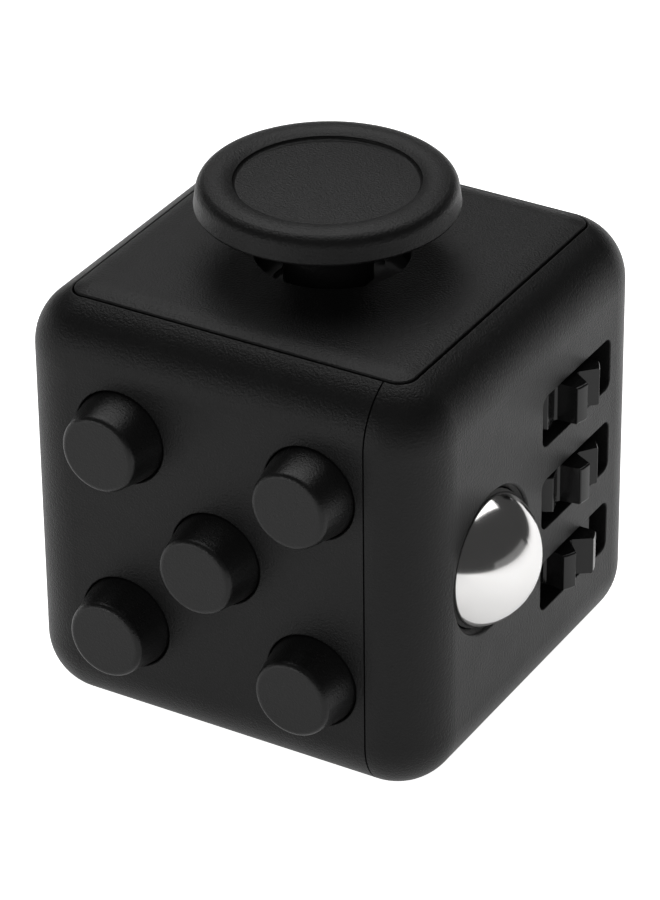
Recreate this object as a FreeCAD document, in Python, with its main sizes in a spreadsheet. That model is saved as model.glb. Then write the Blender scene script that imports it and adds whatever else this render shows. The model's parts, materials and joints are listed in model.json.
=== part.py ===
import FreeCAD, Part
import os

import Sketcher

# A desk toy: a hollow 33 mm plastic cube with something to fiddle with on each face.
# Frame: origin at the centre of the bottom face, +Z up.
# -Y: five push buttons.  +X: steel ball and three gears.  +Z: sliding joystick.
# +Y: rocker switch.  -X: spin dial.  -Z: shallow thumb rest.

Vector = FreeCAD.Vector
Rotation = FreeCAD.Rotation

doc = FreeCAD.newDocument("fidget_cube")

# ---------------------------------------------------------------- driving dimensions, millimetres

DIMENSIONS = {
    "cube": {
        "half": 16.5,                 # half of the cube's side
        "edge_round": 4.65,
        "wall": 1.8,
        "seam": 0.12,                 # width of a visible seam
        "fit": 0.05,                  # gap between faces that locate each other
        "edge_break": 0.1,            # rounding of the moulded edges at seams and holes
        "split": 11.85,               # x of the seam between body and cover
        "lap": 0.6,                   # how far the cover's tongue reaches into the body
        "lap_skin": 0.8,              # thickness of that tongue
    },
    "panel": {
        "panel_half": 13.55,
        "panel_corner": 1.5,
        "panel_edge": 2.4,            # depth of the panel's edge below the top face
        "panel_floor": 1.8,
        "panel_hole": 5.5,
        "hole_break": 0.15,           # broken edge round the joystick's hole
        "pocket_half": 11.2,
        "skirt_half": 12.35,
        "skirt_depth": 4.2,
        "ledge_half": 12.45,
        "ledge_thick": 1.2,
        "barb_reach": 0.45,
        "barb_half": 3.0,
        "barb_thick": 0.55,
    },
    "button": {
        "pitch": 7.6,                 # from the middle button to its neighbours, along X and Z
        "button_hole": 3.55,
        "button_shank": 3.45,
        "button_shoulder": 2.94,
        "shoulder_up": 2.54,
        "button_flat": 2.5,
        "button_up": 2.9,
        "button_round": 0.45,
        "flange": 4.1,
        "flange_thick": 0.8,
        "flange_gap": 0.1,
        "tip": 1.0,
        "tip_long": 0.15,
        "spring_room": 1.9,           # from the flange to the backplate
        "spring_mean": 3.35,
        "spring_wire": 0.3,
        "plate_thick": 0.9,
        "plate_half": 12.0,
        "plate_low": 4.6,
        "plate_high": 28.4,
        "plate_notch": 4.4,
        "notch_start": 5.2,
        "boss": 1.4,
        "post_up": 9.7,               # backplate posts above and below the middle
        "post_side": 8.5,
        "dome": 2.6,
        "dome_up": 0.5,
        "dome_crown": 1.2,
        "dome_skin": 0.15,
    },
    "screw": {
        "screw_shank": 0.5,
        "screw_pilot": 0.55,
        "screw_head": 1.1,
        "screw_head_up": 0.7,
        "screw_long": 2.4,
        "pilot_deep": 2.6,
        "drive_slot": 0.35,
        "drive_deep": 0.35,
    },
    "joystick": {
        "rest_x": -0.38,              # where the joystick settles, off the middle of its hole
        "cap_rim": 9.39,              # widest line
        "cap_rim_z": 36.9,
        "cap_under": 0.25,            # rounding below it
        "cap_flank": 9.234,           # upper end of the flared side
        "cap_flank_z": 37.92,
        "cap_shoulder": 8.6,          # outer end of the ring's gently domed top
        "cap_shoulder_z": 38.69,
        "cap_shoulder_round": 1.0,
        "cap_dome": 2.3,
        "cap_step": 6.65,             # inner end of the domed top
        "cap_step_z": 38.52,
        "cap_step_round": 0.25,
        "cap_floor": 6.45,
        "cap_floor_z": 38.23,
        "neck": 3.2,
        "neck_round": 0.6,
        "joystick_travel": 1.5,
        "slip_outer": 8.8,
        "slip_thick": 0.25,
        "disc_radius": 8.5,
        "disc_top": 30.85,
        "disc_thick": 1.05,
        "stub": 2.5,
        "stub_end": 28.2,
        "stick_screw": 0.9,
        "stick_pilot": 0.95,
        "stick_head": 1.7,
        "stick_head_up": 0.8,
        "stick_screw_end": 33.5,
        "stick_pilot_end": 34.0,
        "retainer_half": 10.2,
        "retainer_top": 28.4,
        "retainer_thick": 0.8,
        "retainer_hole": 7.0,
        "retainer_post": 8.77,
        "post": 1.2,
        "diaphragm": 10.0,
        "diaphragm_bead": 9.0,
        "diaphragm_low": 28.45,
        "diaphragm_skin": 0.5,
        "bead_up": 0.65,
        "diaphragm_hole": 2.55,
    },
    "rocker": {
        "pivot_in": 3.3,              # pivot axis behind the back face
        "rocker_half": 4.5,
        "rocker_end": 6.6,
        "rocker_top": 5.0,
        "rocker_valley": 3.8,
        "rocker_foot": 6.2,
        "rocker_skirt": 0.9,
        "hub_half": 2.3,
        "hub_low": 2.0,
        "hub_wide": 2.8,
        "tilt": 12.0,
        "trunnion": 1.1,
        "trunnion_end": 6.1,
        "trunnion_bore": 1.15,
        "well": 1.25,
        "well_top": 2.4,
        "plunger": 1.1,
        "plunger_top": 0.6,
        "plunger_tip": 3.4,
        "opening_x": 4.7,
        "opening_z": 7.65,
        "cheek_in": 4.8,
        "cheek_out": 6.2,
        "cheek_half": 5.0,
        "cheek_gap": 0.1,
        "cradle_floor": 3.9,          # floor of the cradle behind the pivot
        "cradle_thick": 0.8,
        "ridge": 0.35,
        "ridge_half": 0.8,
        "ear_end": 9.4,
        "ear_half": 5.3,
        "ear_post_x": 8.0,
        "ear_post_z": 4.0,
        "ear_from_wall": 2.1,
        "ear_thick": 0.8,
        "ear_post": 1.3,
        "rocker_wire": 0.25,
        "rocker_coil": 0.85,
        "rocker_round": 0.5,
    },
    "dial": {
        "dial_radius": 10.0,
        "dial_up": 1.1,
        "dial_in": 0.6,
        "dial_round": 0.4,
        "dial_dish": 8.4,
        "dial_dish_deep": 0.45,
        "recess_radius": 10.2,
        "recess_deep": 0.7,
        "nub": 2.3,
        "nub_at": 5.4,
        "nub_up": 2.9,
        "nub_round": 0.7,
        "dial_shaft": 2.0,
        "dial_bore": 2.06,
        "dial_boss": 3.6,
        "dial_boss_end": 3.3,         # inner end of the boss below the left face
        "dial_shaft_end": 3.75,
        "dial_pilot": 0.85,
        "dial_pilot_deep": 2.25,
        "wave_outer": 3.2,
        "wave_inner": 2.15,
        "wave_thick": 0.35,
        "washer_outer": 3.4,
        "washer_thick": 0.4,
        "dial_screw_shank": 0.8,
        "dial_screw_head": 1.7,
        "dial_screw_head_up": 0.75,
        "dial_screw_long": 2.5,
    },
    "gears": {
        "axle_x": 13.5,
        "axle_y": 5.73,
        "gear_z": 16.4,               # middle gear
        "gear_pitch": 6.8,
        "gear_tip": 4.25,
        "gear_root": 2.9,
        "gear_half": 1.475,
        "tooth_tip": 0.55,
        "tooth_foot": 1.0,
        "collar": 1.1,
        "collar_gap": 0.1,
        "gear_bore": 0.8,
        "tooth_round": 0.16,
        "axle": 0.75,
        "rib_half": 0.6,
        "rib_side": 1.85,
        "rib_start": 9.1,
        "end_rib_out": 0.9,           # from the middle of an end rib to the axle's end
        "window_half_y": 5.1,
        "window_half_z": 2.025,
        "window_corner": 0.7,
        "leaf_thick": 0.3,
        "leaf_half_y": 1.2,
        "leaf_half_z": 11.0,
        "leaf_screw": 0.45,
        "leaf_head": 0.9,
    },
    "ball": {
        "ball_radius": 5.27,
        "ball_x": 14.55,
        "ball_y": -6.75,
        "ball_z": 16.15,
        "mouth": 5.42,
        "mouth_round": 0.2,
        "mouth_deep": 0.25,
        "ball_lip": 5.16,
        "lip_front": 0.55,            # depths of the lip's ends below the right face
        "lip_back": 0.75,
        "seat_in": 1.3,
        "barrel_bore": 5.35,
        "barrel": 6.05,
        "barrel_end": 6.2,
        "cup": 5.28,
        "cup_seat": 5.32,
        "cup_back": 8.4,
        "cup_front": 12.0,
        "cup_stem": 1.5,
        "cup_stem_end": 5.0,
        "ball_coil": 2.2,
        "ball_wire": 0.35,
        "closer_thick": 0.8,
        "closer_hole": 1.7,
        "closer_post": 7.3,
    },
    "thumb_rest": {
        "dent_sphere": 22.0,
        "dent_deep": 2.3,
        "dent_rim": 1.0,
        "dent_pad": 11.2,
        "dent_pad_top": 4.0,
    },
}

sheet = doc.addObject("Spreadsheet::Sheet", "dims")


class Size:
    """A value of the sheet, or a formula on such values, together with its number."""

    def __init__(self, text, value):
        self.text = text
        self.value = value

    def __add__(self, other):
        other = as_size(other)
        return Size(f"({self.text} + {other.text})", self.value + other.value)

    def __sub__(self, other):
        other = as_size(other)
        return Size(f"({self.text} - {other.text})", self.value - other.value)

    def __mul__(self, other):
        other = as_size(other)
        return Size(f"({self.text} * {other.text})", self.value * other.value)

    def __truediv__(self, other):
        other = as_size(other)
        return Size(f"({self.text} / {other.text})", self.value / other.value)

    def __neg__(self):
        return Size(f"(0 - {self.text})", -self.value)

    __radd__ = __add__
    __rmul__ = __mul__

    def __rsub__(self, other):
        return as_size(other) - self

    def root(self):
        return Size(f"sqrt({self.text})", self.value ** 0.5)


def as_size(item):
    if isinstance(item, Size):
        return item
    return Size(repr(float(item)), float(item))


class Dimensions:
    """The sheet's aliases, as attributes."""


D = Dimensions()


def fill_sheet():
    row = 1
    for group, values in DIMENSIONS.items():
        sheet.set(f"A{row}", group)
        row += 1
        for alias, value in values.items():
            sheet.set(f"A{row}", alias)
            sheet.set(f"B{row}", str(value))
            sheet.setAlias(f"B{row}", alias)
            setattr(D, alias, Size(f"dims.{alias}", float(value)))
            row += 1
    doc.recompute()


fill_sheet()

# Planes and levels that several pieces share.
MIDDLE = D.half
TOP = 2 * D.half
FRONT = -D.half
BACK = D.half
LEFT = -D.half
RIGHT = D.half
INSIDE = D.half - D.wall
BEYOND = D.half + D.edge_round        # safely outside the cube
LEDGE_TOP = TOP - D.panel_edge
PLATE_FRONT = FRONT + D.wall + D.flange_gap + D.flange_thick + D.spring_room
PIVOT_Y = BACK - D.pivot_in
RIB_LEVELS = [D.gear_z + level * D.gear_pitch for level in (-1.5, -0.5, 0.5, 1.5)]
AXLE_LOW = RIB_LEVELS[0] - D.end_rib_out
AXLE_HIGH = RIB_LEVELS[3] + D.end_rib_out
LEAF_SCREW_Z = (RIB_LEVELS[0], RIB_LEVELS[3])

# ---------------------------------------------------------------- building blocks

TURNS = {
    "X": Rotation(Vector(0, 1, 0), 90),
    "-X": Rotation(Vector(0, 1, 0), -90),
    "Y": Rotation(Vector(1, 0, 0), -90),
    "-Y": Rotation(Vector(1, 0, 0), 90),
    "Z": Rotation(),
}


def bind(thing, prop, size):
    thing.setExpression(prop, as_size(size).text)


def place(thing, x, y, z, axis="Z", spin=0):
    """Put a thing's origin at x, y, z with its own Z along axis, spun about that Z by spin degrees."""
    turn = TURNS[axis].multiply(Rotation(Vector(0, 0, 1), spin))
    thing.Placement = FreeCAD.Placement(Vector(), turn)
    bind(thing, "Placement.Base.x", x)
    bind(thing, "Placement.Base.y", y)
    bind(thing, "Placement.Base.z", z)
    return thing


def block(name, xs, ys, zs):
    """A box between two values along each axis."""
    box = doc.addObject("Part::Box", name)
    bind(box, "Length", as_size(xs[1]) - xs[0])
    bind(box, "Width", as_size(ys[1]) - ys[0])
    bind(box, "Height", as_size(zs[1]) - zs[0])
    return place(box, xs[0], ys[0], zs[0])


def rod(name, radius, axis, span, x=0, y=0, z=0):
    """A round rod along an axis, between the two values of span, through the other coordinates."""
    cylinder = doc.addObject("Part::Cylinder", name)
    bind(cylinder, "Radius", radius)
    bind(cylinder, "Height", as_size(span[1]) - span[0])
    at = {"X": (span[0], y, z), "Y": (x, span[0], z), "Z": (x, y, span[0])}[axis]
    return place(cylinder, *at, axis)


def fuse(name, *things):
    union = doc.addObject("Part::MultiFuse", name)
    union.Shapes = list(things)
    return union


def cut(name, base, *tools):
    difference = doc.addObject("Part::Cut", name)
    difference.Base = base
    difference.Tool = tools[0] if len(tools) == 1 else fuse(name + "_tools", *tools)
    return difference


def common(name, first, second):
    overlap = doc.addObject("Part::MultiCommon", name)
    overlap.Shapes = [first, second]
    return overlap


def soften(name, base, radius, chosen):
    """Round the edges of a piece for which chosen(edge) is true."""
    doc.recompute()
    rounding = doc.addObject("Part::Fillet", name)
    rounding.Base = base
    rounding.Edges = [(index, radius.value, radius.value)
                      for index, edge in enumerate(base.Shape.Edges, 1) if chosen(edge)]
    return rounding


def lies_on(edge, axis, size):
    """Whether an edge lies in the plane at size along the axis."""
    box = edge.BoundBox
    low, high = getattr(box, axis + "Min"), getattr(box, axis + "Max")
    return max(abs(low - size.value), abs(high - size.value)) < D.fit.value / 10


def group(name, *things):
    """Identical pieces that share one node, still separate solids."""
    compound = doc.addObject("Part::Compound", name)
    compound.Links = list(things)
    return compound


def origin_plane(body, role):
    return next(item for item in body.Origin.OriginFeatures if item.Role == role)


def new_sketch(body, role, name):
    sketch = body.newObject("Sketcher::SketchObject", name)
    sketch.AttachmentSupport = (origin_plane(body, role), "")
    sketch.MapMode = "FlatFace"
    return sketch


def pin_point(sketch, geometry, point, x, y):
    """Hold a point of the sketch at x, y from the sketch's origin."""
    for kind, size in (("DistanceX", x), ("DistanceY", y)):
        index = sketch.addConstraint(Sketcher.Constraint(kind, -1, 1, geometry, point, size.value))
        sketch.setExpression(f"Constraints[{index}]", size.text)


def arc_between(start, end, radius):
    """The short arc from start to end, counter-clockwise for a positive radius."""
    middle = (start + end) / 2
    along = end - start
    inward = Vector(-along.y, along.x, 0).normalize()
    drop = max(radius ** 2 - (along.Length / 2) ** 2, 0) ** 0.5
    centre = middle + inward * drop * (1 if radius > 0 else -1)
    first, last = (start, end) if radius > 0 else (end, start)
    circle = Part.Circle(centre, Vector(0, 0, 1), abs(radius))
    return Part.ArcOfCircle(circle, circle.parameter(first), circle.parameter(last))


def outline(sketch, points):
    """Draw a closed outline.

    A corner is (x, y).  A corner (x, y, radius) is reached by an arc, counter-clockwise for a
    positive radius.
    """
    corners = [tuple(as_size(item) for item in point) for point in points]
    ends = []
    for index, corner in enumerate(corners):
        start = Vector(corners[index - 1][0].value, corners[index - 1][1].value, 0)
        end = Vector(corner[0].value, corner[1].value, 0)
        if len(corner) == 2:
            geometry = sketch.addGeometry(Part.LineSegment(start, end))
            ends.append((geometry, 1, 2))
            continue
        radius = corner[2]
        geometry = sketch.addGeometry(arc_between(start, end, radius.value))
        ends.append((geometry, 1, 2) if radius.value > 0 else (geometry, 2, 1))
        length = radius if radius.value > 0 else -radius
        held = sketch.addConstraint(Sketcher.Constraint("Radius", geometry, length.value))
        sketch.setExpression(f"Constraints[{held}]", length.text)
    for index, corner in enumerate(corners):
        geometry, _, last = ends[index]
        following, first, _ = ends[(index + 1) % len(ends)]
        sketch.addConstraint(Sketcher.Constraint("Coincident", geometry, last, following, first))
        pin_point(sketch, geometry, last, corner[0], corner[1])


def turned(name, points):
    """A piece turned about its own Z; points are (radius, height)."""
    body = doc.addObject("PartDesign::Body", name)
    sketch = new_sketch(body, "XZ_Plane", name + "_profile")
    outline(sketch, points)
    revolution = body.newObject("PartDesign::Revolution", name + "_turned")
    revolution.Profile = sketch
    revolution.ReferenceAxis = (sketch, ["V_Axis"])
    revolution.Angle = 360
    return body


def rounded_body(name, sizes, radius, upright_only=False):
    """A box with rounded edges, with one corner of its box at its own origin."""
    body = doc.addObject("PartDesign::Body", name)
    box = body.newObject("PartDesign::AdditiveBox", name + "_box")
    for prop, size in zip(("Length", "Width", "Height"), sizes):
        bind(box, prop, size)
    doc.recompute()
    edges = []
    for index, edge in enumerate(box.Shape.Edges, 1):
        upright = abs(edge.tangentAt(edge.FirstParameter).z) > 0.5
        if upright or not upright_only:
            edges.append(f"Edge{index}")
    rounding = body.newObject("PartDesign::Fillet", name + "_rounding")
    rounding.Base = (box, edges)
    bind(rounding, "Radius", radius)
    body.Tip = rounding
    return body


def cube_offset(name, inset):
    """The cube's outer form, made smaller all round by inset."""
    side = D.half - inset
    body = rounded_body(name, (2 * side, 2 * side, 2 * side), D.edge_round - inset)
    return place(body, -side, -side, MIDDLE - side)


def square_prism(name, half, corner, zs):
    """A square column about the Z axis with rounded corners."""
    height = as_size(zs[1]) - zs[0]
    body = rounded_body(name, (2 * half, 2 * half, height), corner, upright_only=True)
    return place(body, -half, -half, zs[0])


def coil(name, mean, wire, length, turns):
    """A compression spring standing on its own XY plane, with its wire inside the length."""
    body = doc.addObject("PartDesign::Body", name)
    sketch = new_sketch(body, "XZ_Plane", name + "_wire")
    radius = as_size(wire) / 2
    circle = Part.Circle(Vector(mean.value, radius.value, 0), Vector(0, 0, 1), radius.value)
    geometry = sketch.addGeometry(circle)
    held = sketch.addConstraint(Sketcher.Constraint("Radius", geometry, radius.value))
    sketch.setExpression(f"Constraints[{held}]", radius.text)
    pin_point(sketch, geometry, 3, mean, radius)
    helix = body.newObject("PartDesign::AdditiveHelix", name + "_helix")
    helix.Profile = sketch
    helix.ReferenceAxis = (sketch, ["V_Axis"])
    helix.Mode = "height-turns-angle"
    bind(helix, "Height", as_size(length) - wire)
    helix.Turns = turns
    return body


def screw(name, shank, head, head_up, length):
    """A slotted screw: its head stands on its own XY plane and its shank goes down."""
    blank = turned(name + "_blank", [
        (0, -as_size(length)), (shank, -as_size(length)), (shank, 0),
        (head, 0), (head, head_up), (0, head_up),
    ])
    slot = doc.addObject("Part::Box", name + "_slot")
    bind(slot, "Length", 2 * head + 2 * D.fit)
    bind(slot, "Width", D.drive_slot)
    bind(slot, "Height", 2 * D.drive_deep)
    place(slot, -(head + D.fit), -D.drive_slot / 2, head_up - D.drive_deep)
    return cut(name, blank, slot)


def small_screw(name):
    return screw(name, D.screw_shank, D.screw_head, D.screw_head_up, D.screw_long)


nodes = []


def finish(thing, label):
    """Name a finished piece and keep it for writing out."""
    thing.Label = label
    nodes.append(thing)
    return thing


# ---------------------------------------------------------------- shells

outer_form = cube_offset("outer_form", as_size(0))
cavity_form = cube_offset("cavity_form", D.wall)
lap_form = cube_offset("lap_form", D.wall - D.lap_skin)
rebate_form = cube_offset("rebate_form", D.wall - D.lap_skin - D.fit)
hollow_form = cut("hollow_form", outer_form, cavity_form)
lap_layer = cut("lap_layer", lap_form, cavity_form)


def make_ledge():
    """The shelf under the top panel's edge, on all four walls."""
    low = LEDGE_TOP - D.ledge_thick
    band = block("ledge_band", (-BEYOND, BEYOND), (-BEYOND, BEYOND), (low, LEDGE_TOP))
    solid = common("ledge_solid", lap_form, band)
    hole = block("ledge_hole", (-D.ledge_half, D.ledge_half), (-D.ledge_half, D.ledge_half),
                 (low - D.wall, LEDGE_TOP + D.wall))
    return cut("ledge", solid, hole)


ledge = make_ledge()
panel_opening = square_prism("panel_opening", D.panel_half + D.seam / 2, D.panel_corner,
                             (LEDGE_TOP, TOP + D.wall))

BUTTONS = {
    "upper_left": (-D.pitch, MIDDLE + D.pitch),
    "upper_right": (as_size(D.pitch), MIDDLE + D.pitch),
    "centre": (as_size(0), as_size(MIDDLE)),
    "lower_left": (-D.pitch, MIDDLE - D.pitch),
    "lower_right": (as_size(D.pitch), MIDDLE - D.pitch),
}
PLATE_POSTS = [
    (as_size(0), MIDDLE + D.post_up),
    (as_size(0), MIDDLE - D.post_up),
    (-D.post_side, as_size(MIDDLE)),
]
EAR_POSTS = [
    (side * D.ear_post_x, MIDDLE + level * D.ear_post_z)
    for side in (-1, 1) for level in (-1, 1)
]
EAR_FACE = BACK - D.wall - D.ear_from_wall


def thumb_rest_tool():
    """What the shallow spherical dent and its rounded rim take out of the bottom."""
    drop = D.dent_sphere - D.dent_deep
    reach = D.dent_sphere + D.dent_rim
    rim = (reach * reach - (drop + D.dent_rim) * (drop + D.dent_rim)).root()
    share = D.dent_sphere / reach
    return turned("thumb_rest_tool", [
        (0, -D.wall),
        (rim, -D.wall),
        (rim, 0),
        (rim * share, (drop + D.dent_rim) * share - drop, -D.dent_rim),
        (0, D.dent_deep, D.dent_sphere),
    ])


def at_top_seam(edge):
    """Whether an edge runs along the seam round the top panel, just below the top face."""
    low = TOP - D.panel_corner / 2
    return low.value < edge.BoundBox.ZMin and edge.BoundBox.ZMax < (TOP - D.seam).value


def make_main_body():
    """Front, left, back and bottom walls in one moulding."""
    added = [hollow_form, ledge]
    removed = [
        block("cover_side", (D.split - D.seam / 2, BEYOND), (-BEYOND, BEYOND), (-D.wall, TOP + D.wall)),
        common("rebate", rebate_form,
               block("rebate_side", (D.split - D.lap - D.fit, BEYOND), (-BEYOND, BEYOND),
                     (0, TOP))),
        panel_opening,
    ]
    for name, (x, z) in BUTTONS.items():
        removed.append(rod(f"hole_{name}", D.button_hole, "Y", (FRONT - D.wall, -INSIDE + D.fit), x=x, z=z))
    for index, (x, z) in enumerate(PLATE_POSTS):
        added.append(rod(f"post_{index}", D.boss, "Y", (-INSIDE - D.fit, PLATE_FRONT), x=x, z=z))
        removed.append(rod(f"post_pilot_{index}", D.screw_pilot, "Y",
                           (PLATE_FRONT - D.pilot_deep, PLATE_FRONT + D.fit), x=x, z=z))
    for index, (x, z) in enumerate(EAR_POSTS):
        added.append(rod(f"ear_post_{index}", D.ear_post, "Y", (EAR_FACE, INSIDE + D.fit), x=x, z=z))
        removed.append(rod(f"ear_pilot_{index}", D.screw_pilot, "Y",
                           (EAR_FACE - D.fit, EAR_FACE + D.pilot_deep), x=x, z=z))
    removed.append(block("rocker_opening", (-D.opening_x, D.opening_x), (INSIDE - D.fit, BEYOND),
                         (MIDDLE - D.opening_z, MIDDLE + D.opening_z)))
    dial_end = LEFT + D.dial_boss_end
    added.append(rod("dial_boss", D.dial_boss, "X", (-INSIDE - D.fit, dial_end), z=MIDDLE))
    removed.append(rod("dial_recess", D.recess_radius, "X", (-BEYOND, LEFT + D.recess_deep), z=MIDDLE))
    removed.append(rod("dial_bore", D.dial_bore, "X", (-BEYOND, dial_end + D.fit), z=MIDDLE))
    added.append(rod("thumb_rest_pad", D.dent_pad, "Z", (D.wall / 2, D.dent_pad_top)))
    removed.append(thumb_rest_tool())
    raw = fuse("main_body_raw", *added)
    shell = cut("main_body_cut", raw, *removed)

    def at_hole_or_seam(edge):
        round_hole = lies_on(edge, "Y", FRONT) and isinstance(edge.Curve, Part.Circle)
        return round_hole or at_top_seam(edge)

    return finish(soften("main_body_softened", shell, D.edge_break, at_hole_or_seam), "main_body")


make_main_body()

# ---------------------------------------------------------------- cover with ball and gears

GEAR_LEVELS = {
    "upper": D.gear_z + D.gear_pitch,
    "middle": as_size(D.gear_z),
    "lower": D.gear_z - D.gear_pitch,
}
CLOSER_POSTS = [D.ball_z + D.closer_post, D.ball_z - D.closer_post]


def ball_bore_tool():
    """The mouth, the lip that keeps the ball in and the bore behind it."""
    tool = turned("ball_bore_tool", [
        (0, D.barrel_end - D.wall),
        (D.barrel_bore, D.barrel_end - D.wall),
        (D.barrel_bore, RIGHT - D.seat_in),
        (D.ball_lip, RIGHT - D.lip_back),
        (D.ball_lip, RIGHT - D.lip_front),
        (D.mouth, RIGHT - D.mouth_deep),
        (D.mouth, RIGHT - D.mouth_round),
        (D.mouth + D.mouth_round, RIGHT, -D.mouth_round),
        (D.mouth + D.mouth_round, RIGHT + D.wall),
        (0, RIGHT + D.wall),
    ])
    return place(tool, 0, D.ball_y, D.ball_z, "X")


def make_roll_cover():
    """Right wall with its tongue, the ball's barrel and the gears' ribs."""
    skin = common("cover_skin", hollow_form,
                  block("cover_outside", (D.split + D.seam / 2, BEYOND), (-BEYOND, BEYOND),
                        (-D.wall, TOP + D.wall)))
    tongue = common("cover_tongue", fuse("cover_lining", lap_layer, ledge),
                    block("cover_inside", (D.split - D.lap, BEYOND), (-BEYOND, BEYOND),
                          (-D.wall, TOP + D.wall)))
    added = [skin, tongue]
    removed = [panel_opening]
    wall_in = INSIDE + D.fit
    added.append(rod("barrel_blank", D.barrel, "X", (D.barrel_end, wall_in), y=D.ball_y, z=D.ball_z))
    removed.append(ball_bore_tool())
    for index, z in enumerate(CLOSER_POSTS):
        added.append(rod(f"closer_post_{index}", D.post, "X", (D.barrel_end, wall_in), y=D.ball_y, z=z))
        removed.append(rod(f"closer_pilot_{index}", D.screw_pilot, "X",
                           (D.barrel_end - D.fit, D.barrel_end + D.pilot_deep), y=D.ball_y, z=z))
    ribs = {
        "rib_bottom": (AXLE_LOW, RIB_LEVELS[0] + D.rib_half),
        "rib_low": (RIB_LEVELS[1] - D.rib_half, RIB_LEVELS[1] + D.rib_half),
        "rib_high": (RIB_LEVELS[2] - D.rib_half, RIB_LEVELS[2] + D.rib_half),
        "rib_top": (RIB_LEVELS[3] - D.rib_half, AXLE_HIGH),
    }
    for name, zs in ribs.items():
        added.append(block(name, (D.rib_start, wall_in),
                           (D.axle_y - D.rib_side, D.axle_y + D.rib_side), zs))
    removed.append(rod("axle_bore", D.axle, "Z", (AXLE_LOW - D.fit, AXLE_HIGH + D.fit),
                       x=D.axle_x, y=D.axle_y))
    for index, z in enumerate(LEAF_SCREW_Z):
        removed.append(rod(f"leaf_pilot_{index}", D.screw_shank, "X",
                           (D.rib_start - D.fit, D.rib_start + D.pilot_deep), y=D.axle_y, z=z))
    for name, z in GEAR_LEVELS.items():
        window = rounded_body(f"window_{name}", (2 * D.window_half_z, 2 * D.window_half_y, 2 * D.wall),
                              D.window_corner, upright_only=True)
        place(window, INSIDE - D.fit, D.axle_y - D.window_half_y, z + D.window_half_z, "X")
        removed.append(window)
    raw = fuse("roll_cover_raw", *added)
    shell = cut("roll_cover_cut", raw, *removed)

    def at_window_or_seam(edge):
        window = lies_on(edge, "X", RIGHT) and 0 < edge.BoundBox.YMin and edge.BoundBox.YMax < D.split.value
        return window or at_top_seam(edge)

    return finish(soften("roll_cover_softened", shell, D.edge_break, at_window_or_seam), "roll_cover")


make_roll_cover()


def make_gears():
    collar_half = D.gear_pitch / 2 - D.rib_half - D.collar_gap
    half = D.gear_half
    smooth = D.tooth_round
    phases = {"upper": -16.0, "middle": -9.5, "lower": -28.0}
    for name, z in GEAR_LEVELS.items():
        body = turned(f"gear_{name}_body", [
            (D.gear_bore, -collar_half), (D.collar, -collar_half), (D.collar, -half),
            (D.gear_root, -half), (D.gear_root, half), (D.collar, half),
            (D.collar, collar_half), (D.gear_bore, collar_half),
        ])
        sketch = new_sketch(body, "XY_Plane", f"gear_{name}_tooth_outline")
        outline(sketch, [
            (D.gear_root - smooth, -D.tooth_foot),
            (D.gear_tip - smooth, -D.tooth_tip),
            (D.gear_tip, smooth - D.tooth_tip, smooth),
            (D.gear_tip, D.tooth_tip - smooth),
            (D.gear_tip - smooth, D.tooth_tip, smooth),
            (D.gear_root - smooth, D.tooth_foot),
        ])
        tooth = body.newObject("PartDesign::Pad", f"gear_{name}_tooth")
        tooth.Profile = sketch
        bind(tooth, "Length", 2 * half)
        tooth.Midplane = True
        around = body.newObject("PartDesign::PolarPattern", f"gear_{name}_teeth")
        around.Originals = [tooth]
        around.Axis = (sketch, ["N_Axis"])
        around.Angle = 360
        around.Occurrences = 8
        body.Tip = around
        limit = turned(f"gear_{name}_limit", [
            (0, -collar_half), (D.gear_root, -collar_half), (D.gear_root, -half),
            (D.gear_tip - smooth, -half), (D.gear_tip, smooth - half, smooth),
            (D.gear_tip, half - smooth), (D.gear_tip - smooth, half, smooth),
            (D.gear_root, half), (D.gear_root, collar_half), (0, collar_half),
        ])
        rounded = group(f"gear_{name}_in_place", common(f"gear_{name}_rounded", body, limit))
        finish(place(rounded, D.axle_x, D.axle_y, z, "Z", phases[name]), f"gear_{name}")


make_gears()
finish(rod("axle_rod", D.axle, "Z", (AXLE_LOW, AXLE_HIGH), x=D.axle_x, y=D.axle_y), "gear_axle")


def make_click_spring():
    """The leaf that brushes the gears' teeth."""
    strip = block("leaf_strip", (D.rib_start - D.leaf_thick, D.rib_start),
                  (D.axle_y - D.leaf_half_y, D.axle_y + D.leaf_half_y),
                  (D.gear_z - D.leaf_half_z, D.gear_z + D.leaf_half_z))
    holes = [
        rod(f"leaf_hole_{index}", D.screw_pilot, "X",
            (D.rib_start - 2 * D.leaf_thick, D.rib_start + D.leaf_thick), y=D.axle_y, z=z)
        for index, z in enumerate(LEAF_SCREW_Z)
    ]
    finish(cut("leaf_cut", strip, *holes), "gear_click_spring")
    screws = []
    for index, z in enumerate(LEAF_SCREW_Z):
        one = screw(f"leaf_screw_{index}", D.leaf_screw, D.leaf_head, D.screw_head_up, D.screw_long)
        screws.append(place(one, D.rib_start - D.leaf_thick, D.axle_y, z, "-X"))
    finish(group("leaf_screws", *screws), "click_spring_screws")


make_click_spring()


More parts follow.
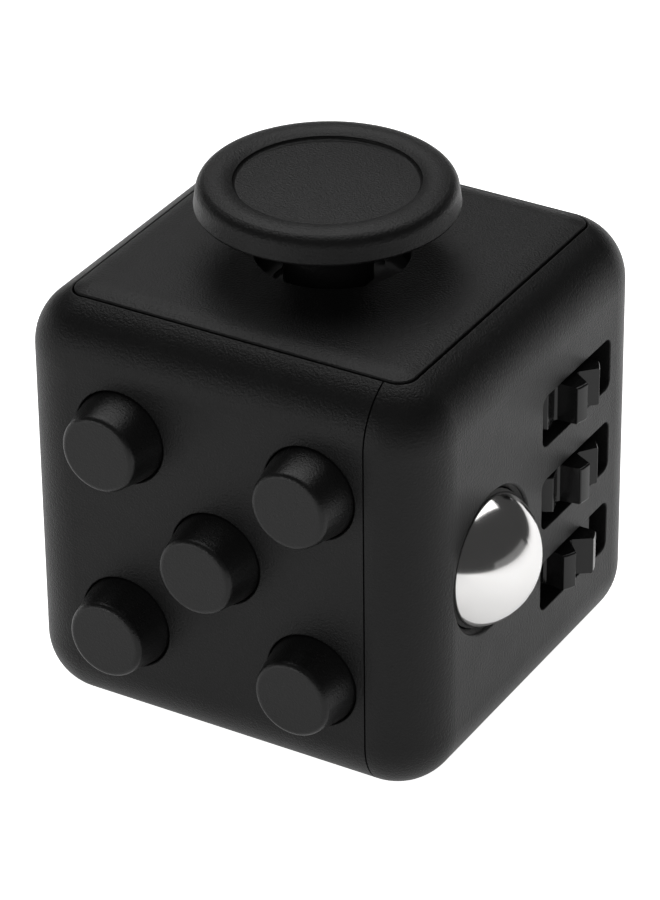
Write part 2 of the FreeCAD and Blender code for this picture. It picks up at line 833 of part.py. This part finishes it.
def make_ball():
    ball = doc.addObject("Part::Sphere", "ball_sphere")
    bind(ball, "Radius", D.ball_radius)
    finish(place(ball, D.ball_x, D.ball_y, D.ball_z), "steel_ball")
    cup = turned("cup_blank", [
        (0, D.cup_stem_end), (D.cup_stem, D.cup_stem_end), (D.cup_stem, D.cup_back),
        (D.cup, D.cup_back), (D.cup, D.cup_front), (0, D.cup_front),
    ])
    place(cup, 0, D.ball_y, D.ball_z, "X")
    seat = doc.addObject("Part::Sphere", "cup_seat_form")
    bind(seat, "Radius", D.cup_seat)
    place(seat, D.ball_x, D.ball_y, D.ball_z)
    finish(cut("cup_cut", cup, seat), "ball_plunger")
    spring = coil("ball_coil_body", D.ball_coil, D.ball_wire, D.cup_back - D.barrel_end - 2 * D.fit, 3)
    finish(place(spring, D.barrel_end + D.fit, D.ball_y, D.ball_z, "X"), "ball_spring")
    closer_low = D.barrel_end - D.closer_thick
    disc = rod("closer_disc", D.barrel, "X", (closer_low, D.barrel_end), y=D.ball_y, z=D.ball_z)
    strap = block("closer_strap", (closer_low, D.barrel_end), (D.ball_y - D.post, D.ball_y + D.post),
                  (CLOSER_POSTS[1], CLOSER_POSTS[0]))
    tabs = [rod(f"closer_tab_{index}", D.post, "X", (closer_low, D.barrel_end), y=D.ball_y, z=z)
            for index, z in enumerate(CLOSER_POSTS)]
    span = (closer_low - D.fit, D.barrel_end + D.fit)
    holes = [rod(f"closer_hole_{index}", D.screw_pilot, "X", span, y=D.ball_y, z=z)
             for index, z in enumerate(CLOSER_POSTS)]
    holes.append(rod("closer_stem_hole", D.closer_hole, "X", span, y=D.ball_y, z=D.ball_z))
    finish(cut("closer_cut", fuse("closer_raw", disc, strap, *tabs), *holes), "ball_retainer")
    screws = [place(small_screw(f"closer_screw_{index}"), closer_low, D.ball_y, z, "-X")
              for index, z in enumerate(CLOSER_POSTS)]
    finish(group("closer_screws", *screws), "ball_retainer_screws")


make_ball()

# ---------------------------------------------------------------- buttons on the front


def make_buttons():
    flange_front = -(D.wall + D.flange_gap)
    flange_back = flange_front - D.flange_thick
    for name, (x, z) in BUTTONS.items():
        button = turned(f"button_{name}_body", [
            (0, flange_back - D.tip_long),
            (D.tip, flange_back - D.tip_long),
            (D.tip, flange_back),
            (D.flange, flange_back),
            (D.flange, flange_front),
            (D.button_shank, flange_front),
            (D.button_shank, 0),
            (D.button_shoulder, D.shoulder_up),
            (D.button_flat, D.button_up, D.button_round),
            (0, D.button_up),
        ])
        finish(place(button, x, FRONT, z, "-Y"), f"button_{name}")
        spring = coil(f"spring_{name}_body", D.spring_mean, D.spring_wire, D.spring_room - 2 * D.fit, 2)
        finish(place(spring, x, PLATE_FRONT - D.fit, z, "-Y"), f"button_spring_{name}")


make_buttons()


def make_backplate():
    back = PLATE_FRONT + D.plate_thick
    sheet_span = (PLATE_FRONT, back)
    plate = block("plate_blank", (-D.plate_half, D.plate_half), sheet_span, (D.plate_low, D.plate_high))
    through = (PLATE_FRONT - D.fit, back + D.fit)
    tools = [block("plate_notch_tool", (D.notch_start, D.plate_half + D.fit), through,
                   (D.ball_z - D.plate_notch, D.ball_z + D.plate_notch))]
    for index, (x, z) in enumerate(PLATE_POSTS):
        tools.append(rod(f"plate_hole_{index}", D.screw_pilot, "Y", through, x=x, z=z))
    finish(cut("plate_cut", plate, *tools), "button_backplate")
    screws = [place(small_screw(f"plate_screw_{index}"), x, back, z, "Y")
              for index, (x, z) in enumerate(PLATE_POSTS)]
    finish(group("plate_screws", *screws), "backplate_screws")
    domes = []
    for name in ("upper_left", "centre", "lower_right"):
        x, z = BUTTONS[name]
        dome = turned(f"dome_{name}", [
            (0, D.dome_up - D.dome_skin),
            (D.dome_crown - D.dome_skin, D.dome_up - D.dome_skin),
            (D.dome - 2 * D.dome_skin, 0),
            (D.dome, 0),
            (D.dome_crown, D.dome_up),
            (0, D.dome_up),
        ])
        domes.append(place(dome, x, PLATE_FRONT, z, "-Y"))
    finish(group("domes", *domes), "click_domes")


make_backplate()

# ---------------------------------------------------------------- top panel and joystick

QUARTERS = [(side * D.retainer_post, level * D.retainer_post) for side in (-1, 1) for level in (-1, 1)]


def make_top_panel():
    edge = square_prism("panel_edge_form", D.panel_half - D.seam / 2, D.panel_corner - D.seam,
                        (LEDGE_TOP, TOP + D.wall))
    slab = common("panel_slab", outer_form, edge)
    floor = TOP - D.panel_floor
    pocket = square_prism("panel_pocket", D.pocket_half, D.panel_corner,
                          (LEDGE_TOP - D.skirt_depth, floor))
    skirt = square_prism("panel_skirt", D.skirt_half, D.panel_corner,
                         (TOP - D.skirt_depth, LEDGE_TOP + D.fit))
    barb_z = (TOP - D.skirt_depth, TOP - D.skirt_depth + D.barb_thick)
    reach = D.skirt_half + D.barb_reach
    barbs = [
        block("barbs_x", (-reach, reach), (-D.barb_half, D.barb_half), barb_z),
        block("barbs_y", (-D.barb_half, D.barb_half), (-reach, reach), barb_z),
    ]
    raw = cut("panel_hollowed", fuse("panel_raw", slab, skirt, *barbs), pocket)
    added = []
    removed = []
    for index, (x, y) in enumerate(QUARTERS):
        added.append(rod(f"panel_post_{index}", D.post, "Z", (D.retainer_top, floor + D.fit), x=x, y=y))
        removed.append(rod(f"panel_pilot_{index}", D.screw_pilot, "Z",
                           (D.retainer_top - D.fit, D.retainer_top + D.pilot_deep - D.fit), x=x, y=y))
    removed.append(turned("panel_hole_tool", [
        (0, floor - D.wall), (D.panel_hole, floor - D.wall), (D.panel_hole, TOP - D.hole_break),
        (D.panel_hole + D.hole_break, TOP, D.hole_break), (D.panel_hole + D.hole_break, TOP + D.wall),
        (0, TOP + D.wall),
    ]))
    panel = cut("panel_cut", fuse("panel_posted", raw, *added), *removed)
    return finish(soften("panel_softened", panel, D.edge_break, at_top_seam), "top_panel")


make_top_panel()


def make_joystick():
    """Thumb cap on a neck, with a domed ring round a flat floor, at its resting place."""
    under = D.cap_rim_z - D.cap_under
    cap = turned("cap_body", [
        (D.stick_pilot, D.disc_top),
        (D.neck, D.disc_top),
        (D.neck, under - D.neck_round),
        (D.neck + D.neck_round, under, -D.neck_round),
        (D.cap_rim - D.cap_under, under),
        (D.cap_rim, D.cap_rim_z, D.cap_under),
        (D.cap_flank, D.cap_flank_z),
        (D.cap_shoulder, D.cap_shoulder_z, D.cap_shoulder_round),
        (D.cap_step, D.cap_step_z, D.cap_dome),
        (D.cap_floor, D.cap_floor_z, -D.cap_step_round),
        (0, D.cap_floor_z),
        (0, D.stick_pilot_end),
        (D.stick_pilot, D.stick_pilot_end),
    ])
    finish(place(cap, D.rest_x, 0, 0), "joystick_cap")
    bottom = D.disc_top - D.disc_thick
    disc = turned("slide_disc_body", [
        (D.stick_pilot, D.stub_end), (D.stub, D.stub_end), (D.stub, bottom),
        (D.disc_radius, bottom), (D.disc_radius, D.disc_top), (D.stick_pilot, D.disc_top),
    ])
    finish(place(disc, D.rest_x, 0, 0), "joystick_slide_disc")
    stick = screw("stick_screw_part", D.stick_screw, D.stick_head, D.stick_head_up,
                  D.stick_screw_end - D.stub_end)
    stick.Placement.Rotation = Rotation(Vector(1, 0, 0), 180)
    bind(stick, "Placement.Base.x", D.rest_x)
    bind(stick, "Placement.Base.z", D.stub_end)
    finish(stick, "joystick_screw")


make_joystick()


def make_slip_washer():
    """The slotted washer that slides along X and guides the neck along Y."""
    low = D.disc_top + D.fit
    span = (low, low + D.slip_thick)
    through = (low - D.fit, low + D.slip_thick + D.fit)
    slot = D.neck + D.fit
    travel = D.joystick_travel
    blank = rod("slip_blank", D.slip_outer, "Z", span)
    tools = [
        rod("slip_slot_near", slot, "Z", through, y=-travel),
        rod("slip_slot_far", slot, "Z", through, y=travel),
        block("slip_slot_mid", (-slot, slot), (-travel, travel), through),
    ]
    washer = group("slip_in_place", cut("slip_cut", blank, *tools))
    finish(place(washer, D.rest_x, 0, 0), "joystick_slip_washer")


make_slip_washer()


def make_retainer():
    low = D.retainer_top - D.retainer_thick
    plate = square_prism("retainer_blank", D.retainer_half, D.panel_corner, (low, D.retainer_top))
    through = (low - D.fit, D.retainer_top + D.fit)
    tools = [rod("retainer_hole_tool", D.retainer_hole, "Z", through)]
    screws = []
    for index, (x, y) in enumerate(QUARTERS):
        tools.append(rod(f"retainer_screw_hole_{index}", D.screw_pilot, "Z", through, x=x, y=y))
        one = small_screw(f"retainer_screw_{index}")
        one.Placement.Rotation = Rotation(Vector(1, 0, 0), 180)
        for prop, size in (("x", x), ("y", y), ("z", low)):
            bind(one, "Placement.Base." + prop, size)
        screws.append(one)
    finish(cut("retainer_cut", plate, *tools), "joystick_retainer")
    finish(group("retainer_screw_set", *screws), "retainer_screws")
    low = D.diaphragm_low
    skin = low + D.diaphragm_skin
    diaphragm = turned("diaphragm_body", [
        (0, low), (D.diaphragm, low), (D.diaphragm, low + D.bead_up),
        (D.diaphragm_bead, low + D.bead_up), (D.diaphragm_bead, skin), (0, skin),
    ])
    stub_hole = rod("diaphragm_hole_tool", D.diaphragm_hole, "Z", (low - D.fit, skin + D.fit), x=D.rest_x)
    finish(cut("diaphragm_cut", diaphragm, stub_hole), "centring_diaphragm")


make_retainer()

# ---------------------------------------------------------------- rocker switch on the back


def tilted(thing):
    """Put a piece made about the rocker's pivot where it is at rest, upper end out."""
    thing.Placement.Rotation = Rotation(Vector(1, 0, 0), -D.tilt.value)
    bind(thing, "Placement.Base.y", PIVOT_Y)
    bind(thing, "Placement.Base.z", MIDDLE)
    return thing


def make_rocker():
    """The rocker is drawn in its own YZ plane with the pivot at the origin and +Y outward."""
    body = doc.addObject("PartDesign::Body", "rocker_body")
    sketch = new_sketch(body, "YZ_Plane", "rocker_outline")
    outline(sketch, [
        (D.rocker_valley, 0),
        (D.rocker_top, D.rocker_end - D.rocker_round),
        (D.rocker_top - D.rocker_round, D.rocker_end, D.rocker_round),
        (D.rocker_skirt, D.rocker_foot),
        (D.rocker_skirt, D.hub_wide),
        (-D.hub_low, D.hub_half),
        (-D.hub_low, -D.hub_half),
        (D.rocker_skirt, -D.hub_wide),
        (D.rocker_skirt, -D.rocker_foot),
        (D.rocker_top - D.rocker_round, -D.rocker_end),
        (D.rocker_top, D.rocker_round - D.rocker_end, D.rocker_round),
    ])
    pad = body.newObject("PartDesign::Pad", "rocker_width")
    pad.Profile = sketch
    bind(pad, "Length", 2 * D.rocker_half)
    pad.Midplane = True
    pins = rod("rocker_pins", D.trunnion, "X", (-D.trunnion_end, D.trunnion_end))
    well = rod("rocker_well", D.well, "Y", (-(D.hub_low + D.fit), D.well_top))
    finish(tilted(cut("rocker_cut", fuse("rocker_raw", body, pins), well)), "rocker")
    plunger = turned("plunger_body", [
        (0, -D.plunger_tip),
        (D.plunger, D.plunger - D.plunger_tip, D.plunger),
        (D.plunger, -D.plunger_top),
        (0, -D.plunger_top),
    ])
    plunger = group("plunger_in_place", place(plunger, 0, 0, 0, "Y"))
    finish(tilted(plunger), "rocker_plunger")
    spring_low = -D.plunger_top + D.fit
    spring = coil("rocker_coil_body", D.rocker_coil, D.rocker_wire, D.well_top - D.fit - spring_low, 5)
    spring = group("rocker_spring_in_place", place(spring, 0, spring_low, 0, "Y"))
    finish(tilted(spring), "rocker_spring")


make_rocker()


def make_cradle():
    """Bracket behind the opening that carries the rocker's pins."""
    floor_top = PIVOT_Y - D.cradle_floor
    floor = block("cradle_floor_block", (-D.cheek_out, D.cheek_out), (floor_top - D.cradle_thick, floor_top),
                  (MIDDLE - D.cheek_half, MIDDLE + D.cheek_half))
    ridge = block("cradle_ridge", (-D.ridge_half, D.ridge_half), (floor_top - D.fit, floor_top + D.ridge),
                  (MIDDLE - D.ridge_half, MIDDLE + D.ridge_half))
    added = [floor, ridge]
    removed = []
    wall_side = INSIDE - D.cheek_gap
    for side, name in ((-1, "left"), (1, "right")):
        inner, outer = sorted((side * D.cheek_in, side * D.cheek_out), key=lambda size: size.value)
        added.append(block(f"cheek_{name}", (inner, outer), (floor_top - D.cradle_thick, wall_side),
                           (MIDDLE - D.cheek_half, MIDDLE + D.cheek_half)))
        near, far = sorted((side * D.cheek_in, side * D.ear_end), key=lambda size: size.value)
        added.append(block(f"ear_{name}", (near, far), (EAR_FACE - D.ear_thick, EAR_FACE),
                           (MIDDLE - D.ear_half, MIDDLE + D.ear_half)))
    removed.append(rod("trunnion_bore_tool", D.trunnion_bore, "X", (-D.cheek_out - D.fit, D.cheek_out + D.fit),
                       y=PIVOT_Y, z=MIDDLE))
    screws = []
    for index, (x, z) in enumerate(EAR_POSTS):
        removed.append(rod(f"ear_hole_{index}", D.screw_pilot, "Y",
                           (EAR_FACE - D.ear_thick - D.fit, EAR_FACE + D.fit), x=x, z=z))
        screws.append(place(small_screw(f"ear_screw_{index}"), x, EAR_FACE - D.ear_thick, z, "-Y"))
    finish(cut("cradle_cut", fuse("cradle_raw", *added), *removed), "switch_cradle")
    finish(group("ear_screws", *screws), "cradle_screws")


make_cradle()

# ---------------------------------------------------------------- spin dial on the left


def make_dial():
    disc = turned("dial_disc", [
        (D.dial_pilot, -D.dial_shaft_end),
        (D.dial_shaft, -D.dial_shaft_end),
        (D.dial_shaft, -D.dial_in),
        (D.dial_radius, -D.dial_in),
        (D.dial_radius, D.dial_up - D.dial_round),
        (D.dial_radius - D.dial_round, D.dial_up, D.dial_round),
        (D.dial_dish, D.dial_up),
        (D.dial_dish - D.dial_dish_deep, D.dial_up - D.dial_dish_deep),
        (0, D.dial_up - D.dial_dish_deep),
        (0, D.dial_pilot_deep - D.dial_shaft_end),
        (D.dial_pilot, D.dial_pilot_deep - D.dial_shaft_end),
    ])
    nub = turned("dial_nub", [
        (0, 0), (D.nub, 0), (D.nub, D.nub_up - D.nub_round),
        (D.nub - D.nub_round, D.nub_up, D.nub_round), (0, D.nub_up),
    ])
    place(nub, -D.nub_at, 0, 0)
    dial = fuse("dial_fused", disc, nub)
    finish(place(dial, LEFT, 0, MIDDLE, "-X"), "dial")
    wave = turned("wave_body", [
        (D.wave_inner, 0), (D.wave_outer, 0), (D.wave_outer, D.wave_thick), (D.wave_inner, D.wave_thick),
    ])
    boss_end = LEFT + D.dial_boss_end
    finish(place(wave, boss_end + D.fit, 0, MIDDLE, "X"), "dial_spring_washer")
    shaft_end = LEFT + D.dial_shaft_end
    washer = turned("washer_body", [
        (D.dial_screw_shank + D.fit, 0), (D.washer_outer, 0), (D.washer_outer, D.washer_thick),
        (D.dial_screw_shank + D.fit, D.washer_thick),
    ])
    finish(place(washer, shaft_end, 0, MIDDLE, "X"), "dial_washer")
    holder = screw("dial_screw_part", D.dial_screw_shank, D.dial_screw_head, D.dial_screw_head_up,
                   D.dial_screw_long)
    finish(place(holder, shaft_end + D.washer_thick, 0, MIDDLE, "X"), "dial_screw")


make_dial()

# ---------------------------------------------------------------- checking and writing


def check_document():
    doc.recompute()
    for thing in doc.Objects:
        if "Invalid" in thing.State or "Error" in thing.State:
            raise RuntimeError(f"{thing.Name} failed: {thing.State}")
    for thing in nodes:
        if thing.Shape.isNull() or not thing.Shape.isValid():
            raise RuntimeError(f"{thing.Label} has no valid shape")


def write_parts():
    os.makedirs("parts", exist_ok=True)
    for thing in nodes:
        thing.Shape.exportStep(f"parts/{thing.Label}.step")
        box = thing.Shape.BoundBox
        print(f"{thing.Label:26s} solids {len(thing.Shape.Solids)}  volume {thing.Shape.Volume:9.3f}  "
              f"x {box.XMin:7.2f} {box.XMax:7.2f}  y {box.YMin:7.2f} {box.YMax:7.2f}  "
              f"z {box.ZMin:7.2f} {box.ZMax:7.2f}")


check_document()
write_parts()
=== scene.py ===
import json
import math

import bpy
from mathutils import Matrix, Vector


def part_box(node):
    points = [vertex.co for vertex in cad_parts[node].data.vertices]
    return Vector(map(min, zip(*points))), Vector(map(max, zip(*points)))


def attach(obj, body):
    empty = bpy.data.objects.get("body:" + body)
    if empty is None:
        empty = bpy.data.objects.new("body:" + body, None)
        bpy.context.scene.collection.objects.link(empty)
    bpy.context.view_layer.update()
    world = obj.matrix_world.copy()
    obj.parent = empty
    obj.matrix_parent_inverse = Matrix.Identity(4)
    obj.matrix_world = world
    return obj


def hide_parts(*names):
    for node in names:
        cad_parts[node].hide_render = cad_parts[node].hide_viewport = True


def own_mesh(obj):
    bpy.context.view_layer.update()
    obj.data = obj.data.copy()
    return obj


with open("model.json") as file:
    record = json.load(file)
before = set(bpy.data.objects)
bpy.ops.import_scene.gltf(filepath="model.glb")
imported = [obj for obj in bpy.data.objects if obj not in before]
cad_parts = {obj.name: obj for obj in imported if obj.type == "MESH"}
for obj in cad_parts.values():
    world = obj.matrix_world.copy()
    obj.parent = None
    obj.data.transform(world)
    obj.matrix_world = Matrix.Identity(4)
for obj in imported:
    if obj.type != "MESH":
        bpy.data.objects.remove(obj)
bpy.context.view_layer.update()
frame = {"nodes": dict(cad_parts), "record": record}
nodes = frame["nodes"]

MM = 0.001

ALONG_X, ALONG_Y = 0, 1
CUBE_MIDDLE = 16.5                    # height of the cube's middle, mm
CAMERA_TURN = (30.504, 30.905, -0.638)  # azimuth, elevation and roll, degrees
CAMERA_SHIFT = (-0.357, 0.157)        # of the aim from the cube's middle, right and up, mm
CAMERA_DISTANCE = 330.06              # mm
CAMERA_LENS = 183.5                   # mm

# brightness of the surroundings that the cube mirrors, and how the floor's goes from front to back
AMBIENT = 0.05
FLOOR_NEAR = 0.3
FLOOR_FAR = 0.6
FLOOR_SLOPE = (8.0, 4.0)
FLOOR_START = 0.35

# ---------------------------------------------------------------- shader maths


class Sock:
    """A shader socket that Python arithmetic turns into Math nodes."""

    def __init__(self, tree, link):
        self.tree = tree
        self.link = link

    def _math(self, operation, other):
        made = self.tree.nodes.new("ShaderNodeMath")
        made.operation = operation
        self.tree.links.new(self.link, made.inputs[0])
        if isinstance(other, Sock):
            self.tree.links.new(other.link, made.inputs[1])
        else:
            made.inputs[1].default_value = other
        return Sock(self.tree, made.outputs[0])

    def __add__(self, other):
        return self._math("ADD", other)

    def __sub__(self, other):
        return self._math("SUBTRACT", other)

    def __mul__(self, other):
        return self._math("MULTIPLY", other)

    def clamped(self):
        held = self._math("ADD", 0.0)
        held.link.node.use_clamp = True
        return held

    __radd__ = __add__


class Finish:
    """A node material with one Principled shader."""

    def __init__(self, name):
        self.material = bpy.data.materials.new(name)
        self.material.use_nodes = True
        self.tree = self.material.node_tree
        self.shader = self.tree.nodes["Principled BSDF"]

    def node(self, kind, settings=None, **inputs):
        made = self.tree.nodes.new(kind)
        for key, value in (settings or {}).items():
            setattr(made, key, value)
        for key, value in inputs.items():
            self.feed(made.inputs[key.replace("_", " ")], value)
        return made

    def feed(self, socket, value):
        if isinstance(value, Sock):
            self.tree.links.new(value.link, socket)
        elif isinstance(value, bpy.types.NodeSocket):
            self.tree.links.new(value, socket)
        else:
            socket.default_value = value

    def place(self):
        return self.node("ShaderNodeTexCoord").outputs["Object"]

    def noise(self, scale, detail=2.0, rough=0.5):
        made = self.node("ShaderNodeTexNoise", Vector=self.place(), Scale=scale, Detail=detail,
                         Roughness=rough)
        return Sock(self.tree, made.outputs["Fac"])

    def bump(self, height, strength, distance):
        made = self.node("ShaderNodeBump", Strength=strength, Distance=distance, Height=height)
        return made.outputs["Normal"]

    def blend(self, share, first, second):
        made = self.node("ShaderNodeMix", {"data_type": "RGBA"})
        self.feed(made.inputs[0], share)
        self.feed(made.inputs[6], first)
        self.feed(made.inputs[7], second)
        return made.outputs[2]

    def set(self, **values):
        for key, value in values.items():
            self.feed(self.shader.inputs[key.replace("_", " ")], value)


def grey(level, warm=0.0):
    """A grey, with its red raised and its blue lowered by the share warm."""
    return (level * (1 + warm), level, level * (1 - warm), 1.0)


def moulded_plastic(name, dark, pale, rough, grain_mm, grain_depth, shine=0.2):
    """Black plastic moulded against a sparked steel tool: an even fine grain under a soft sheen.

    dark and pale are the ends of its colour, rough its mean roughness, and shine its mirrored share.
    """
    finish = Finish(name)
    grain = finish.noise(1 / (grain_mm * MM), 3.0, 0.6)
    broad = finish.noise(90.0, 3.0)
    rubbed = finish.noise(400.0, 4.0)
    finish.set(
        Base_Color=finish.blend((broad * 0.6 + grain * 0.4).clamped(), grey(dark), grey(pale)),
        Roughness=(rough + (rubbed - 0.5) * 0.10 + (grain - 0.5) * 0.12).clamped(),
        Normal=finish.bump(grain, 0.6, grain_depth * MM),
        Specular_IOR_Level=shine,
    )
    return finish.material


def polished_steel():
    finish = Finish("polished_steel")
    haze = finish.noise(700.0, 4.0)
    finish.set(
        Base_Color=finish.blend(haze, grey(0.78, 0.012), grey(0.83, 0.012)),
        Metallic=1.0,
        Roughness=(0.11 + haze * 0.04).clamped(),
    )
    return finish.material


def bright_steel(name, level, rough):
    finish = Finish(name)
    drawn = finish.noise(2500.0, 3.0)
    finish.set(
        Base_Color=finish.blend(drawn, grey(level * 0.85), grey(level)),
        Metallic=1.0,
        Roughness=(rough + drawn * 0.12).clamped(),
        Normal=finish.bump(drawn, 0.2, 0.01 * MM),
    )
    return finish.material


def silicone():
    finish = Finish("silicone")
    bloom = finish.noise(1200.0, 3.0)
    finish.set(
        Base_Color=finish.blend(bloom, grey(0.03), grey(0.05)),
        Roughness=(0.6 + bloom * 0.15).clamped(),
        Normal=finish.bump(bloom, 0.2, 0.02 * MM),
    )
    return finish.material


# dark, pale, roughness, grain size and grain depth in mm, and shine where it isn't the usual one
MOULDINGS = {
    "case_plastic": (0.004, 0.006, 0.37, 0.17, 0.09),
    "button_plastic": (0.004, 0.006, 0.3, 0.15, 0.05, 0.3),
    "cap_plastic": (0.004, 0.006, 0.34, 0.17, 0.09),
    "gear_plastic": (0.004, 0.006, 0.2, 0.14, 0.006, 0.35),
    "switch_plastic": (0.004, 0.006, 0.34, 0.16, 0.012),
    "dial_plastic": (0.004, 0.006, 0.34, 0.16, 0.012),
    "inner_plastic": (0.02, 0.03, 0.4, 0.3, 0.01),
}

FINISHES = {name: moulded_plastic(name, *values) for name, values in MOULDINGS.items()}
FINISHES.update({
    "polished_steel": polished_steel(),
    "screw_steel": bright_steel("screw_steel", 0.5, 0.3),
    "spring_steel": bright_steel("spring_steel", 0.6, 0.25),
    "silicone": silicone(),
})

for entry in frame["record"]["subparts"]:
    thing = nodes[entry["node"]]
    thing.data.materials.clear()
    thing.data.materials.append(FINISHES[entry["material_slot"]])

# ---------------------------------------------------------------- springs


def compression_spring(node, along, mean, wire, turns, fixed_high):
    """A round-wire spring in a node's place, at the node's full length.

    mean is the coil's mean radius and wire the wire's diameter.  fixed_high picks the end that would stay,
    but only for an anchor that nothing uses.
    """
    low, high = (Vector(corner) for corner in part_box(node))
    middle = (low + high) / 2
    length = high[along] - low[along]
    bpy.ops.object.select_all(action="DESELECT")
    bpy.ops.mesh.primitive_circle_add(vertices=12, radius=wire * MM / 2,
                                      location=(mean * MM, 0, 0), rotation=(math.pi / 2, 0, 0))
    piece = bpy.context.object
    piece.name = node + "_coil"
    bpy.ops.object.transform_apply(location=True, rotation=True, scale=True)
    wind = piece.modifiers.new("wind", "SCREW")
    wind.axis = "Z"
    wind.screw_offset = (length - wire * MM) / turns
    wind.iterations = turns
    wind.steps = wind.render_steps = 32
    bpy.ops.object.modifier_apply(modifier="wind")
    bpy.ops.object.mode_set(mode="EDIT")
    bpy.ops.mesh.select_all(action="SELECT")
    bpy.ops.mesh.fill_holes(sides=0)
    bpy.ops.mesh.select_all(action="SELECT")
    bpy.ops.mesh.normals_make_consistent(inside=False)
    bpy.ops.object.mode_set(mode="OBJECT")
    bpy.ops.object.shade_smooth()
    foot = middle.copy()
    foot[along] = low[along] + wire * MM / 2
    piece.rotation_euler = (0, math.pi / 2, 0) if along == ALONG_X else (-math.pi / 2, 0, 0)
    piece.location = foot
    bpy.ops.object.transform_apply(location=True, rotation=True, scale=True)
    piece.data.materials.append(FINISHES["spring_steel"])
    anchor = middle.copy()
    anchor[along] = high[along] if fixed_high else low[along]
    axis = Vector((0, 0, 0))
    axis[along] = 1
    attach(piece, "cube")
    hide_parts(node)
    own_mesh(piece)


for place in ("upper_left", "upper_right", "centre", "lower_left", "lower_right"):
    compression_spring("button_spring_" + place, ALONG_Y,
                       mean=3.35, wire=0.3, turns=2, fixed_high=True)
compression_spring("ball_spring", ALONG_X,
                   mean=2.2, wire=0.35, turns=3, fixed_high=False)

# ---------------------------------------------------------------- stage, light and camera


def make_stage():
    """A floor that looks white, and that the cube mirrors darker in front than behind."""
    bpy.ops.mesh.primitive_plane_add(size=4.0, location=(0, 0, -0.0001))
    floor = bpy.context.object
    floor.name = "floor"
    pale = Finish("pale_floor")
    split = pale.node("ShaderNodeSeparateXYZ", Vector=pale.place())
    across, along = (Sock(pale.tree, split.outputs[axis]) for axis in ("X", "Y"))
    beyond = (across * FLOOR_SLOPE[0] + along * FLOOR_SLOPE[1] + FLOOR_START).clamped()
    seen = Sock(pale.tree, pale.node("ShaderNodeLightPath").outputs["Is Camera Ray"])
    mirrored = pale.blend(beyond, grey(FLOOR_NEAR), grey(FLOOR_FAR))
    pale.set(
        Base_Color=grey(0.8),
        Roughness=0.9,
        Emission_Color=pale.blend(seen, mirrored, grey(1.0)),
        Emission_Strength=1.0,
    )
    floor.data.materials.append(pale.material)


def area_light(name, place_mm, size_mm, power, aim_mm=(0, 0, 16), upright=(0, 0, 1)):
    """A lamp that the camera itself doesn't see; size is its width and its length along upright."""
    data = bpy.data.lights.new(name, "AREA")
    data.shape = "RECTANGLE"
    data.size = size_mm[0] * MM
    data.size_y = size_mm[1] * MM
    data.energy = power
    lamp = bpy.data.objects.new(name, data)
    bpy.context.scene.collection.objects.link(lamp)
    back = (Vector(place_mm) - Vector(aim_mm)).normalized()
    across = Vector(upright).cross(back).normalized()
    turn = Matrix((across, back.cross(across), back)).transposed()
    lamp.matrix_world = Matrix.Translation(Vector(place_mm) * MM) @ turn.to_4x4()
    lamp.visible_camera = False
    return lamp


def make_world():
    """White behind the cube for the camera, nearly dark for everything else."""
    world = bpy.data.worlds.new("studio")
    world.use_nodes = True
    tree = world.node_tree
    white = tree.nodes["Background"]
    white.inputs["Color"].default_value = (1, 1, 1, 1)
    white.inputs["Strength"].default_value = 1.0
    dim = tree.nodes.new("ShaderNodeBackground")
    dim.inputs["Color"].default_value = (1, 1, 1, 1)
    dim.inputs["Strength"].default_value = AMBIENT
    path = tree.nodes.new("ShaderNodeLightPath")
    either = tree.nodes.new("ShaderNodeMixShader")
    tree.links.new(path.outputs["Is Camera Ray"], either.inputs[0])
    tree.links.new(dim.outputs[0], either.inputs[1])
    tree.links.new(white.outputs[0], either.inputs[2])
    tree.links.new(either.outputs[0], tree.nodes["World Output"].inputs["Surface"])
    bpy.context.scene.world = world


def make_camera():
    azimuth, elevation, roll = (math.radians(angle) for angle in CAMERA_TURN)
    back = Vector((math.sin(azimuth) * math.cos(elevation),
                   -math.cos(azimuth) * math.cos(elevation),
                   math.sin(elevation)))
    level_right = Vector((math.cos(azimuth), math.sin(azimuth), 0))
    level_up = back.cross(level_right)
    right = level_right * math.cos(roll) + level_up * math.sin(roll)
    up = back.cross(right)
    aim = Vector((0, 0, CUBE_MIDDLE)) + right * CAMERA_SHIFT[0] + up * CAMERA_SHIFT[1]
    data = bpy.data.cameras.new("camera")
    data.lens = CAMERA_LENS
    data.sensor_width = 36.0
    data.clip_start = 0.01
    data.clip_end = 20.0
    camera = bpy.data.objects.new("camera", data)
    bpy.context.scene.collection.objects.link(camera)
    turn = Matrix((right, up, back)).transposed()
    camera.matrix_world = Matrix.Translation((aim + back * CAMERA_DISTANCE) * MM) @ turn.to_4x4()
    bpy.context.scene.camera = camera


make_stage()
area_light("softbox", (-60, 110, 286), (340, 280), 0.6, upright=(0, 1, 0))
area_light("back_card", (-400, 560, 60), (600, 160), 0.1, (0, 0, 20))
area_light("left_card", (-600, -100, 60), (500, 140), 0.15, (0, 0, 20))
area_light("front_card", (-300, -600, 60), (600, 140), 0.8, (0, 0, 20))
area_light("side_card", (600, 100, 60), (700, 140), 0.05, (0, 0, 20))
for name, place_mm, power in (("front_fill", (200, -500, 300), 2.0), ("rear_fill", (-400, 400, 160), 0.8)):
    fill = area_light(name, place_mm, (400, 400), power)
    fill.visible_glossy = False
make_camera()
make_world()

bpy.context.scene.view_settings.view_transform = "Standard"
